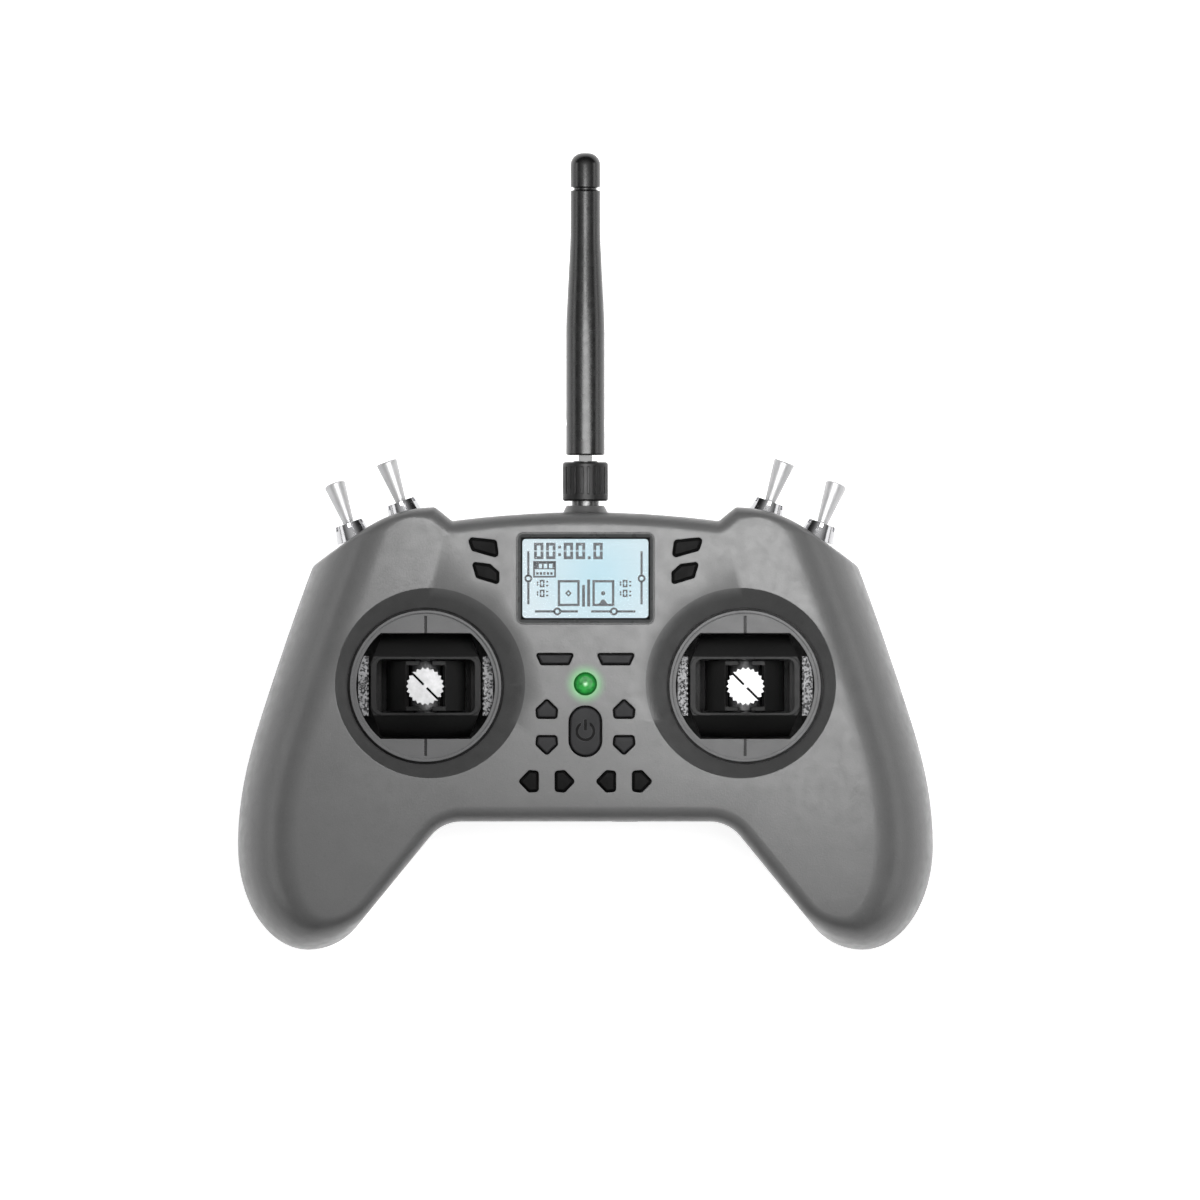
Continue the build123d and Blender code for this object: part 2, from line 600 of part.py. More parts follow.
def yoke(side):
    """The drum that turns about X and carries the stick: open below and on top."""
    gx, gy = side * GIMBAL[0], GIMBAL[1]
    with BuildPart() as drum:
        add(drum_form(gx, gy))
        rounded_plate((gx, gy), (25.0, 13.4), 2.6, (PIVOT_Z + 9.0, PIVOT_Z + 10.0))
        add(drum_form(gx, gy, DRUM_WALL), mode=Mode.SUBTRACT)
        below = (PIVOT_Z - 3.5, PIVOT_Z - 1.0)
        block((gx - 10.2, gx + 10.2), (gy - 9.0, gy + 9.0), below, Mode.SUBTRACT)
        above = (PIVOT_Z + 8.0, PIVOT_Z + 11.0)
        rounded_plate((gx, gy), (22.4, 12.2), 1.5, above, Mode.SUBTRACT)
        for way in (-1, 1):
            across = Plane((gx, gy, PIVOT_Z), x_dir=(0, 1, 0), z_dir=(way, 0, 0))
            rod(across, PIN_RADIUS, (DRUM_HALF - 0.6, 15.8))
            rod(across, 2.4, (DRUM_HALF - 0.6, DRUM_HALF + 0.5))
        along = Plane((gx, gy, PIVOT_Z), x_dir=(1, 0, 0), z_dir=(0, 1, 0))
        rod(along, AXLE_RADIUS + 0.05, (-13.0, 13.0), mode=Mode.SUBTRACT)
    return drum.part


def stick_core(side):
    """The metal cross hub, its axle and the shaft that carries the tip."""
    gx, gy = side * GIMBAL[0], GIMBAL[1]
    along = Plane((gx, gy, PIVOT_Z), x_dir=(1, 0, 0), z_dir=(0, 1, 0))
    with BuildPart() as core:
        rod(along, AXLE_RADIUS, (-11.3, 11.3))
        rod(along, 2.4, (-8.8, 8.8))
        rod(along, HUB_RADIUS, (-HUB_HALF, HUB_HALF))
        post(gx, gy, SHAFT_RADIUS, (PIVOT_Z - 6.0, TIP_Z[1] - 2.5))
        post(gx, gy, 2.6, (PIVOT_Z, PIVOT_Z + 7.0))
        with BuildSketch(Plane.XY.offset(37.6)) as lock_nut:
            with Locations((gx, gy)):
                RegularPolygon(3.2, 6)
        extrude(lock_nut.sketch, amount=2.2)
    return core.part


def stick_skirt(side):
    """The faceted dust skirt either side of the hub, with its end webs."""
    gx, gy = side * GIMBAL[0], GIMBAL[1]
    start = Plane((gx, gy + 5.7, PIVOT_Z), x_dir=(1, 0, 0), z_dir=(0, -1, 0))
    facets = [(9.0 * cos(radians(a)), 9.0 * sin(radians(a))) for a in (0, 20, 40, 60)]
    inside = [(7.8 * cos(radians(a)), 7.8 * sin(radians(a))) for a in (60, 40, 20, 0)]
    web = facets + [(1.5, 7.8), (1.5, 3.6), (3.6, 1.5), (3.6, 0.0)]
    layers = ((facets + inside, 11.4, 0.0), (web, 1.0, 0.0), (web, 1.0, 10.4))
    with BuildPart() as skirt:
        for way in (-1, 1):
            for outline, depth, lift in layers:
                with BuildSketch(start.offset(lift)) as profile:
                    with BuildLine():
                        Polyline(*[(way * x, y) for x, y in outline], close=True)
                    make_face()
                extrude(profile.sketch, amount=depth)
        along = Plane((gx, gy, PIVOT_Z), x_dir=(1, 0, 0), z_dir=(0, 1, 0))
        rod(along, HUB_RADIUS + 0.02, (-7.0, 7.0), mode=Mode.SUBTRACT)
        post(gx, gy, 2.7, (PIVOT_Z, PIVOT_Z + 12.0), mode=Mode.SUBTRACT)
    return skirt.part


def stick_tip(side):
    """The knurled tip: a neck, a toothed crown and two slots cut on a diagonal."""
    gx, gy = side * GIMBAL[0], GIMBAL[1]
    radii = (TIP_RADIUS, TIP_RADIUS - TOOTH_DEPTH)
    step = 180 / TIP_TEETH
    crown = [
        (radii[i % 2] * cos(radians(i * step)), radii[i % 2] * sin(radians(i * step)))
        for i in range(2 * TIP_TEETH)
    ]
    with BuildPart() as tip:
        post(gx, gy, 3.3, TIP_Z)
        with BuildSketch(Plane.XY.offset(TIP_Z[0] + 3.0)) as teeth:
            with BuildLine():
                Polyline(*turned(crown, 0, (gx, gy)), close=True)
            make_face()
        extrude(teeth.sketch, amount=TIP_Z[1] - TIP_Z[0] - 3.0)
        post(gx, gy, SHAFT_RADIUS + 0.05, (TIP_Z[0], TIP_Z[1] - 2.4), mode=Mode.SUBTRACT)
        for angle in (135, -45):
            ex, ey = direction(angle)
            with Locations(Location((gx + 2.8 * ex, gy + 2.8 * ey, TIP_Z[1]), (0, 0, angle))):
                Box(TIP_SLOT[0], TIP_SLOT[1], 2 * TIP_SLOT[2], mode=Mode.SUBTRACT)
    return tip.part


for side in SIDES:
    finish(yoke(side), f"yoke_{SIDE_NAMES[side]}")
    finish(stick_core(side), f"stick_{SIDE_NAMES[side]}")
    finish(stick_skirt(side), f"stick_skirt_{SIDE_NAMES[side]}")
    finish(stick_tip(side), f"stick_tip_{SIDE_NAMES[side]}")


# ---------------------------------------------------------------- screen and lamp
with BuildPart() as screen_frame:
    rounded_plate(SCREEN, (33.4, 22.6), 1.5, (33.6, 33.95))
    rounded_plate(SCREEN, (31.3, 20.8), 1.45, (33.6, FACE_Z - 0.1))
    with BuildSketch(Plane.XY.offset(34.6)) as window_low:
        with Locations(SCREEN):
            RectangleRounded(*WINDOW, 0.8)
    with BuildSketch(Plane.XY.offset(FACE_Z)) as window_high:
        with Locations(SCREEN):
            RectangleRounded(WINDOW[0] + 2.2, WINDOW[1] + 2.4, 1.2)
    loft([window_low.sketch, window_high.sketch], mode=Mode.SUBTRACT)
    rounded_plate(SCREEN, WINDOW, 0.8, (33.0, 34.6), Mode.SUBTRACT)
finish(screen_frame.part, "screen_frame")

with BuildPart() as screen_lens:
    rounded_plate(SCREEN, (32.4, 21.8), 1.0, (33.0, 33.55))
    rounded_plate(SCREEN, (WINDOW[0] - 0.1, WINDOW[1] - 0.1), 0.75, (33.0, 34.5))
finish(screen_lens.part, "screen_lens")

with BuildPart() as lcd_panel:
    rounded_plate(SCREEN, LCD_SIZE, 0.5, LCD_Z)
finish(lcd_panel.part, "lcd_panel")

with BuildPart() as led_lens:
    post(*LED, 3.3, (33.2, 33.9))
    post(*LED, 2.0, (29.3, 33.9))
    post(*LED, LED_RADIUS, (33.2, 36.4))
    fillet(led_lens.edges().group_by(Axis.Z)[-1], 1.2)
finish(led_lens.part, "led_lens")


# ---------------------------------------------------------------- buttons
def button(points, corner):
    """A button: a cap with a rounded edge, a flange behind the face and a stem."""
    with BuildPart() as key:
        cap = key_outline(points, corner, CAP_FLANGE_Z[0], -CAP_GAP)
        extrude(cap, amount=CAP_TOP_Z - CAP_FLANGE_Z[0])
        fillet(key.edges().group_by(Axis.Z)[-1], 0.35)
        flange = key_outline(points, corner, CAP_FLANGE_Z[0], FLANGE_GROW)
        extrude(flange, amount=CAP_FLANGE_Z[1] - CAP_FLANGE_Z[0])
        post(*middle(points), 1.1, (STEM_Z, CAP_FLANGE_Z[0] + 0.1))
    return key.part


def power_button(points, corner):
    """The power button, with the standby symbol sunk into its cap."""
    sign_x, sign_y = middle(points)
    with BuildPart() as key:
        add(button(points, corner))
        with BuildSketch(Plane.XY.offset(CAP_TOP_Z - SIGN_DEPTH)) as sign:
            with Locations((sign_x, sign_y)):
                Circle(SIGN_RADIUS)
                Circle(SIGN_RADIUS - SIGN_STROKE, mode=Mode.SUBTRACT)
            with Locations((sign_x, sign_y + SIGN_RADIUS)):
                Rectangle(2.0, 2.2, mode=Mode.SUBTRACT)
            with Locations((sign_x, sign_y + 1.45)):
                Rectangle(SIGN_STROKE, 2.5)
        extrude(sign.sketch, amount=1.0, mode=Mode.SUBTRACT)
    return key.part


for name, (points, corner) in BUTTONS.items():
    make = power_button if name == "button_power" else button
    finish(make(points, corner), name)


# ---------------------------------------------------------------- electronics
with BuildPart() as main_board:
    block((-BOARD_HALF, BOARD_HALF), BOARD_Y, BOARD_Z)
    rounded_plate((0, 38.0), (55.0, 14.0), 1.0, BOARD_Z)
    for side in SIDES:
        for x, y in BOARD_SCREWS:
            post(side * x, y, 0.9, BOARD_Z, mode=Mode.SUBTRACT)
finish(main_board.part, "main_board")

with BuildPart() as tact_switches:
    for points, _ in BUTTONS.values():
        x, y = middle(points)
        block((x - 1.6, x + 1.6), (y - 1.6, y + 1.6), (BOARD_Z[1] + 0.01, 30.9))
        post(x, y, 0.9, (30.9, SWITCH_TOP_Z))
finish(tact_switches.part, "tact_switches")

with BuildPart() as board_chips:
    for x, y, width, depth, height in CHIPS:
        block(
            (x - width / 2, x + width / 2),
            (y - depth / 2, y + depth / 2),
            (BOARD_Z[0] - height, BOARD_Z[0] - 0.01),
        )
    post(*LED, 1.2, (BOARD_Z[1] + 0.01, 29.2))
finish(board_chips.part, "board_chips")

with BuildPart() as lcd_carrier:
    for x in (-15.0, 15.0):
        for y in (25.0, 44.0):
            post(x, y, 1.2, (BOARD_Z[1] + 0.01, LCD_Z[0] - 0.01))
finish(lcd_carrier.part, "lcd_carrier")

with BuildPart() as battery_pack:
    block((-16.5, 16.5), (-8.0, 42.0), BATTERY_Z)
    fillet(battery_pack.edges().filter_by(Axis.Y), 3.0)
finish(battery_pack.part, "battery_pack")

with BuildPart() as speaker:
    post(0, -11.0, 2.6, (6.1, 9.0))
    block((-7.5, 7.5), (-15.0, -8.1), (6.05, 8.4))
finish(speaker.part, "speaker")

with BuildPart() as module_connector:
    block((-7.0, 7.0), (10.0, 12.6), (9.4, 11.98))
    for pin in range(5):
        post(-5.08 + 2.54 * pin, 11.3, 0.32, (4.0, 9.6))
finish(module_connector.part, "module_connector")

with BuildPart() as usb_c_socket:
    socket = Plane((USB[0], CROTCH_Y + 0.5, USB[1]), x_dir=(1, 0, 0), z_dir=(0, 1, 0))
    for size, corner, amount, mode in (
        ((9.0, 3.3), 1.6, 7.4, Mode.ADD),
        ((8.4, 2.7), 1.3, 6.2, Mode.SUBTRACT),
    ):
        with BuildSketch(socket) as ring:
            RectangleRounded(*size, corner)
        extrude(ring.sketch, amount=amount, mode=mode)
    with BuildSketch(socket.offset(1.0)) as tongue:
        Rectangle(6.7, 0.7)
    extrude(tongue.sketch, amount=5.5)
finish(usb_c_socket.part, "usb_c_socket")

with BuildPart() as audio_jack:
    jack_y = (CROTCH_Y + 2.1, CROTCH_Y + 12.4)
    block((JACK[0] - 3.2, JACK[0] + 3.2), jack_y, (JACK[1] - 2.7, BOARD_Z[0] - 0.01))
    rod(jack_plane, 3.0, (CROTCH_Y - 0.1, CROTCH_Y + 3.0))
    rod(jack_plane, 1.8, (CROTCH_Y - 0.2, CROTCH_Y + 11.0), mode=Mode.SUBTRACT)
finish(audio_jack.part, "audio_jack")


# ---------------------------------------------------------------- toggle switches
with BuildPart() as switch_bodies:
    for plane in TOGGLE_PLANES:
        with Locations(plane.offset(-12.4)):
            Box(7.6, 6.6, 8.0, align=BASE)
        for pin in (-2.4, 0.0, 2.4):
            with Locations(plane.offset(-14.8)):
                with Locations((pin, 0)):
                    Box(0.9, 1.6, 2.6, align=BASE)
finish(switch_bodies.part, "switch_bodies")

with BuildPart() as switch_bushings:
    for plane in TOGGLE_PLANES:
        rod(plane, 2.4, (-4.38, 2.7))
        rod(plane, 1.75, (-1.0, 2.7), mode=Mode.SUBTRACT)
finish(switch_bushings.part, "switch_bushings")

with BuildPart() as switch_nuts:
    for plane in TOGGLE_PLANES:
        cone(plane, (4.15, 3.3), (-0.55, 3.3))
        rod(plane, 2.45, (-0.55, 2.75), mode=Mode.SUBTRACT)
        cone(plane, (1.95, 2.35), (2.7, 3.4), mode=Mode.SUBTRACT)
        for step in range(6):
            with Locations(plane.offset(2.3)):
                with Locations(Location((0, 0), step * 60)):
                    with Locations((3.3, 0)):
                        Box(1.2, 0.8, 1.4, align=BASE, mode=Mode.SUBTRACT)
finish(switch_nuts.part, "switch_nuts")


def lever(row, side):
    """A flared toggle lever on its ball."""
    plane = toggle_plane(row, side)
    pivot = plane.offset(TOGGLE_PIVOT).origin
    lean = radians(TOGGLE_LEAN[row])
    axis = plane.z_dir * cos(lean) - plane.x_dir * sin(lean)
    along = Plane(pivot, x_dir=plane.y_dir, z_dir=axis)
    with BuildPart() as stem:
        cone(along, (1.05, 2.45), (0.0, TOGGLE_LENGTH))
        lever_end = stem.faces().sort_by_distance(along.offset(TOGGLE_LENGTH).origin)[0]
        chamfer(lever_end.edges(), 0.25)
        with Locations(along):
            Sphere(1.6)
    return stem.part


for row in TOGGLES:
    for side in SIDES:
        finish(lever(row, side), f"toggle_{row}_{SIDE_NAMES[side]}")


# ---------------------------------------------------------------- antenna
with BuildPart() as sma_socket:
    with BuildSketch(ANTENNA_PLANE.offset(45.5)) as hexagon:
        RegularPolygon(4.2, 6)
    extrude(hexagon.sketch, amount=1.9)
    rod(ANTENNA_PLANE, NECK_RADIUS, (45.5, 56.0))
    rod(ANTENNA_PLANE, 2.2, (52.5, 56.0), mode=Mode.SUBTRACT)
    rod(ANTENNA_PLANE, 0.5, (52.0, 56.0))
finish(sma_socket.part, "sma_socket")

with BuildPart() as antenna_lead:
    with BuildLine(Plane.XY.offset(ANTENNA_Z)) as lead_path:
        FilletPolyline((0, 45.45), (0, 41.5), (PLUG[0] - 1.0, PLUG[1] + 0.4), radius=2.0)
    with BuildSketch(Plane((0, 45.45, ANTENNA_Z), z_dir=(0, -1, 0))) as lead_section:
        Circle(0.55)
    sweep(sections=lead_section.sketch, path=lead_path.wire())
    post(*PLUG, 1.5, (ANTENNA_Z - 0.6, BOARD_Z[0] - 0.02))
finish(antenna_lead.part, "antenna_lead")

with BuildPart() as antenna_nut:
    rod(ANTENNA_PLANE, NUT_RADIUS, NUT_Y)
    chamfer(antenna_nut.edges().filter_by(GeomType.CIRCLE), 0.35)
    rod(ANTENNA_PLANE, NECK_RADIUS + 0.05, (NUT_Y[0], 56.5), mode=Mode.SUBTRACT)
    rod(ANTENNA_PLANE, 4.25, (56.4, 60.0), mode=Mode.SUBTRACT)
    rod(ANTENNA_PLANE, 2.85, (59.9, NUT_Y[1]), mode=Mode.SUBTRACT)
    with Locations(ANTENNA_PLANE.offset(NUT_Y[0] + 1.6)):
        with PolarLocations(NUT_RADIUS + 0.05, NUT_RIBS):
            Box(0.7, 0.6, 6.2, align=BASE, mode=Mode.SUBTRACT)
finish(antenna_nut.part, "antenna_nut")

HINGE_PLANE = Plane((0, FOLD_Y, ANTENNA_Z), x_dir=(0, 1, 0), z_dir=(1, 0, 0))
with BuildPart() as antenna_knuckle:
    rod(ANTENNA_PLANE, 4.2, (57.0, 59.85))
    rod(ANTENNA_PLANE, TONGUE_RADIUS, (57.0, 61.3))
    with BuildSketch(HINGE_PLANE.offset(-TONGUE[0] / 2)) as tongue:
        tongue_length = FOLD_Y - NUT_Y[1] - 0.1
        with Locations((-tongue_length / 2, 0)):
            Rectangle(tongue_length, TONGUE[1])
        Circle(TONGUE_RADIUS)
    extrude(tongue.sketch, amount=TONGUE[0])
    rod(HINGE_PLANE, 0.95, (-2, 2), mode=Mode.SUBTRACT)
finish(antenna_knuckle.part, "antenna_knuckle")

with BuildPart() as antenna_pin:
    rod(HINGE_PLANE, 0.9, (-PIN_LENGTH / 2, PIN_LENGTH / 2))
finish(antenna_pin.part, "antenna_pin")

with BuildPart() as antenna_whip:
    with BuildSketch(Plane.XY.offset(ANTENNA_Z)) as whip_profile:
        with BuildLine():
            Polyline(
                (0, WHIP_Y), (WHIP_RADIUS - 0.3, WHIP_Y), (WHIP_RADIUS, WHIP_Y + 0.3),
                (WHIP_RADIUS, TAPER_Y[0]), (WHIP_TIP_RADIUS, TAPER_Y[1]),
                (WHIP_TIP_RADIUS, GROOVE_Y - 0.5), (GROOVE_RADIUS, GROOVE_Y - 0.2),
                (GROOVE_RADIUS, GROOVE_Y + 0.2), (WHIP_TIP_RADIUS, GROOVE_Y + 0.5),
                (WHIP_TIP_RADIUS, WHIP_TOP_Y), (0, WHIP_TOP_Y), close=True,
            )
        make_face()
        for height in TAPER_Y:
            fillet(whip_profile.vertices().sort_by_distance((WHIP_RADIUS, height))[0], 120)
        fillet(whip_profile.vertices().sort_by_distance((WHIP_TIP_RADIUS, WHIP_TOP_Y))[0], 2.8)
    revolve(whip_profile.sketch, axis=Axis((0, 0, ANTENNA_Z), (0, 1, 0)))
    slot_x = (-FORK_SLOT / 2, FORK_SLOT / 2)
    slot_z = (ANTENNA_Z - 6, FORK_ROOF_Z)
    block(slot_x, (WHIP_Y - 1, FORK_END_Y), slot_z, mode=Mode.SUBTRACT)
    rod(HINGE_PLANE, 0.91, (-6, 6), mode=Mode.SUBTRACT)
finish(antenna_whip.part, "antenna_whip")


# ---------------------------------------------------------------- module bay cover
with BuildPart() as module_cover:
    block(*COVER)
    fillet(module_cover.edges().filter_by(Axis.Z), 0.6)
    for rib in (-8.0, 0.0, 8.0):
        block((rib - 0.6, rib + 0.6), (9.0, 37.0), (COVER[2][1] - 0.1, 2.8))
    block((-4.0, 4.0), (37.6, 38.9), (COVER[2][1] - 0.1, 6.0))
    for line in range(4):
        groove_y = 34.0 + 1.4 * line
        block((-6, 6), (groove_y - 0.25, groove_y + 0.25), (0, 0.4), mode=Mode.SUBTRACT)
finish(module_cover.part, "module_cover")
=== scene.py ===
from math import cos, pi, radians, sin

import bmesh
import bpy
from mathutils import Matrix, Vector


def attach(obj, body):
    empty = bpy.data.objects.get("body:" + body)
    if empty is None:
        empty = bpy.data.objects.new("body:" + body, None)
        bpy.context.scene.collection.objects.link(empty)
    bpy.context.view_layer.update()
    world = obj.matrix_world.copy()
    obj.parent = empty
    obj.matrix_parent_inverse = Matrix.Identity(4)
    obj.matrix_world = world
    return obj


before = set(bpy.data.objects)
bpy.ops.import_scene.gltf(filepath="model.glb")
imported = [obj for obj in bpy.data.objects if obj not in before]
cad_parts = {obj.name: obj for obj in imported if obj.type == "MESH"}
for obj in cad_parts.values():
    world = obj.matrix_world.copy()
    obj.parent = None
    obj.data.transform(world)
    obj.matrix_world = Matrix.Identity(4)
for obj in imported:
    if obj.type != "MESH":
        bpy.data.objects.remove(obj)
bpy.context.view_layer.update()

MM = 0.001                        # the frame is in metres; sizes are in mm unless marked
SHELL = "shell"                   # the body that carries the display's marks
WHITE = (1.0, 1.0, 1.0, 1.0)

# Camera: straight down on the face, far enough off to be almost parallel (metres)
CAMERA_AT = (0.00333, 0.0296, 6.0)
CAMERA_LENS = 785.7
SENSOR_WIDTH = 36
VIEW_DEPTH = 20

# Sky light: strength at the horizon and overhead, and how closely it gathers overhead
SKY_HORIZON, SKY_ZENITH, SKY_FOCUS = 0.03, 1.15, 4.0

# Light panels: name, place, size, watts, and the point that each faces (metres)
PANELS = (
    ("top_panel", (0.025, 0.055, 0.22), (0.17, 0.11), 0.48, (0.012, 0.035, 0.03)),
    ("left_strip", (-0.5, 0.0, 0.16), (0.6, 0.20), 0.7, (0.0, 0.0, 0.02)),
    ("right_strip", (0.5, 0.0, 0.16), (0.6, 0.20), 0.7, (0.0, 0.0, 0.02)),
)

# Floor: just clear of the flat back, and lit a little from within so that it stays pale
FLOOR_Z = -0.3 * MM
FLOOR_REACH = 2
FLOOR_GLOW = 0.72

# Display: centre and half sizes of its window, and the bottom and top of its marks
SCREEN_X, SCREEN_Y = 0.0, 34.5
WINDOW_HALF = (14.35, 9.0)
MARK_HEIGHTS = (32.92, 32.97)

# Lamp: centre, and the radii between which its halo fades on the face
LED_X, LED_Y = 0.0, 10.5
HALO = (2.6, 5.4)

# Dishes round the sticks: centre of the upper edge, and the radii of its soft border
DISH_X, DISH_Y = 35.4, 10.66
DISH_EDGE = (21.75, 21.6)

# Heights that part a lit surface from painted near-black shade below it (in the bezels' index
# marks, also their dark fill)
BEZEL_FLOOR = 33.4
KEY_FLOOR = 36.3
TIP_FLOOR = 49.9

# Shading: edges sharper than this stay sharp, and corners closer than this are one
SHARP_ANGLE = radians(26)
MERGE_DISTANCE = 0.002


# ---------------------------------------------------------------- node helpers
def add_node(tree, kind, inputs, output=0, **settings):
    """Adds a node whose inputs are linked to sockets or set to values; returns one output."""
    made = tree.nodes.new(kind)
    for key, value in settings.items():
        setattr(made, key, value)
    for key, value in inputs.items():
        if isinstance(value, bpy.types.NodeSocket):
            tree.links.new(value, made.inputs[key])
        elif value is not None:
            made.inputs[key].default_value = value
    return made.outputs[output]


def shade(colour, factor, lift=0.0):
    """A colour made darker or lighter."""
    return tuple(min(c * factor + lift, 1.0) for c in colour)


# ---------------------------------------------------------------- camera and light
def put_camera():
    """The photograph's view."""
    lens = bpy.data.cameras.new("camera")
    lens.lens = CAMERA_LENS
    lens.sensor_width = SENSOR_WIDTH
    lens.clip_end = VIEW_DEPTH
    camera = bpy.data.objects.new("camera", lens)
    camera.location = CAMERA_AT
    bpy.context.scene.collection.objects.link(camera)
    bpy.context.scene.camera = camera


def put_light(name, place, size, watts, target):
    """A soft panel that faces the target and isn't seen itself."""
    lamp = bpy.data.lights.new(name, "AREA")
    lamp.shape = "RECTANGLE"
    lamp.size, lamp.size_y = size
    lamp.energy = watts
    panel = bpy.data.objects.new(name, lamp)
    panel.location = place
    panel.visible_camera = False
    panel.rotation_euler = (Vector(target) - Vector(place)).to_track_quat("-Z", "Y").to_euler()
    bpy.context.scene.collection.objects.link(panel)


def put_world():
    """Soft light from above that fades towards the horizon."""
    world = bpy.data.worlds.new("studio")
    world.use_nodes = True
    tree = world.node_tree
    place = add_node(tree, "ShaderNodeTexCoord", {}, output="Generated")
    height = add_node(tree, "ShaderNodeSeparateXYZ", {0: place}, output="Z")
    gathered = add_node(tree, "ShaderNodeMath", {0: height, 1: SKY_FOCUS}, operation="POWER")
    strength = add_node(tree, "ShaderNodeMapRange", {
        "Value": gathered, "To Min": SKY_HORIZON, "To Max": SKY_ZENITH,
    })
    sky = tree.nodes["Background"]
    sky.inputs["Color"].default_value = WHITE
    tree.links.new(strength, sky.inputs["Strength"])
    bpy.context.scene.world = world


# ---------------------------------------------------------------- the material class
class Look:
    """A material: one Principled shader and short calls for the nodes that feed it.

    Sizes, radii, depths and places are given in millimetres.
    """

    def __init__(self, name, colour, roughness, **sockets):
        self.material = bpy.data.materials.new(name)
        self.material.use_nodes = True
        self.tree = self.material.node_tree
        self.shader = self.tree.nodes["Principled BSDF"]
        self.position = self.node("ShaderNodeTexCoord", {}, output="Object")
        self.colour = (*colour, 1.0)
        self.roughness = roughness
        self.normal = None
        for socket, value in sockets.items():
            self.shader.inputs[socket.replace("_", " ")].default_value = value

    def node(self, kind, inputs, output=0, **settings):
        return add_node(self.tree, kind, inputs, output, **settings)

    def feed(self, socket, value):
        """Gives the shader a value, or a link to one that comes from nodes."""
        if isinstance(value, bpy.types.NodeSocket):
            self.tree.links.new(value, self.shader.inputs[socket])
        elif value is not None:
            self.shader.inputs[socket].default_value = value

    def noise(self, size, detail=2.0, stretch=(1.0, 1.0, 1.0)):
        """Noise with features of about `size`, drawn out by `stretch`."""
        scale = tuple(1.0 / s for s in stretch)
        place = self.node("ShaderNodeMapping", {"Vector": self.position, "Scale": scale})
        return self.node("ShaderNodeTexNoise", {
            "Vector": place, "Scale": 1.0 / (size * MM), "Detail": detail, "Roughness": 0.55,
        })

    def remap(self, value, low, high, to_low=0.0, to_high=1.0):
        return self.node("ShaderNodeMapRange", {
            "Value": value, "From Min": low, "From Max": high, "To Min": to_low, "To Max": to_high,
        })

    def math(self, operation, a, b=None):
        return self.node("ShaderNodeMath", {0: a, 1: b}, operation=operation)

    def mix(self, share, a, b):
        """Colour a where share is 0 and b where it is 1."""
        return self.node("ShaderNodeMix", {0: share, 6: a, 7: b}, output=2, data_type="RGBA")

    def along(self, axis):
        """The place along X, Y or Z, in metres."""
        return self.node("ShaderNodeSeparateXYZ", {0: self.position}, output=axis)

    def distance(self, x, y):
        """Distance from a point, seen from above, in metres."""
        moved = self.node("ShaderNodeVectorMath", {
            0: self.position, 1: (x * MM, y * MM, 0.0),
        }, operation="SUBTRACT")
        flat = self.node("ShaderNodeVectorMath", {
            0: moved, 1: (1.0, 1.0, 0.0),
        }, operation="MULTIPLY")
        return self.node("ShaderNodeVectorMath", {0: flat}, output=1, operation="LENGTH")

    def box_distance(self, x, y, half_x, half_y):
        """Distance outside an upright rectangle, seen from above, in metres."""
        sides = []
        for axis, centre, half in (("X", x, half_x), ("Y", y, half_y)):
            reach = self.math("ABSOLUTE", self.math("SUBTRACT", self.along(axis), centre * MM))
            sides.append(self.math("SUBTRACT", reach, half * MM))
        return self.math("MAXIMUM", *sides)

    def below(self, height, soft=0.1):
        """1 below a height and 0 above it."""
        return self.remap(self.along("Z"), (height - soft) * MM, height * MM, 1.0, 0.0)

    def tint(self, share, colour):
        """Lays a colour over what is there, by a share."""
        self.colour = self.mix(share, self.colour, (*colour, 1.0))

    def vary(self, size, spread):
        """Lightens and darkens the plain colour in soft patches."""
        plain = self.colour[:3]
        light = (*(c * (1 + spread) for c in plain), 1.0)
        dark = (*(c * (1 - spread) for c in plain), 1.0)
        self.colour = self.mix(self.remap(self.noise(size, detail=3.0), 0.3, 0.7), dark, light)

    def polish(self, size, low, high, stretch=(1.0, 1.0, 1.0)):
        """Roughness that varies in patches."""
        self.roughness = self.remap(self.noise(size, 3.0, stretch), 0.3, 0.7, low, high)

    def bevel(self, radius):
        """The surface's direction, turned softly over edges within a radius."""
        return self.node("ShaderNodeBevel", {"Radius": radius * MM}, samples=4)

    def round_edges(self, radius):
        """Softens edges in the light."""
        self.normal = self.bevel(radius)

    def wear_and_highlight(self, radius, colour, strength):
        """Lightens edges, unevenly, where hands and cases rub; turned up on the buttons, it is also
        a painted highlight along their rims.
        """
        flat = self.node("ShaderNodeNewGeometry", {}, output="Normal")
        alike = self.node("ShaderNodeVectorMath", {
            0: self.bevel(radius), 1: flat,
        }, output=1, operation="DOT_PRODUCT")
        edge = self.remap(alike, 0.98, 0.75, 0.0, strength)
        patches = self.remap(self.noise(1.6), 0.35, 0.6)
        self.tint(self.math("MULTIPLY", edge, patches), colour)

    def relief(self, height, depth):
        """Bumps on top of the rounded edges."""
        self.normal = self.node("ShaderNodeBump", {
            "Height": height, "Distance": depth * MM, "Strength": 1.0, "Normal": self.normal,
        })

    def glow(self, colour, strength):
        """Light given off."""
        self.feed("Emission Color", colour)
        self.feed("Emission Strength", strength)

    def done(self):
        self.feed("Base Color", self.colour)
        self.feed("Roughness", self.roughness)
        self.feed("Normal", self.normal)
        return self.material


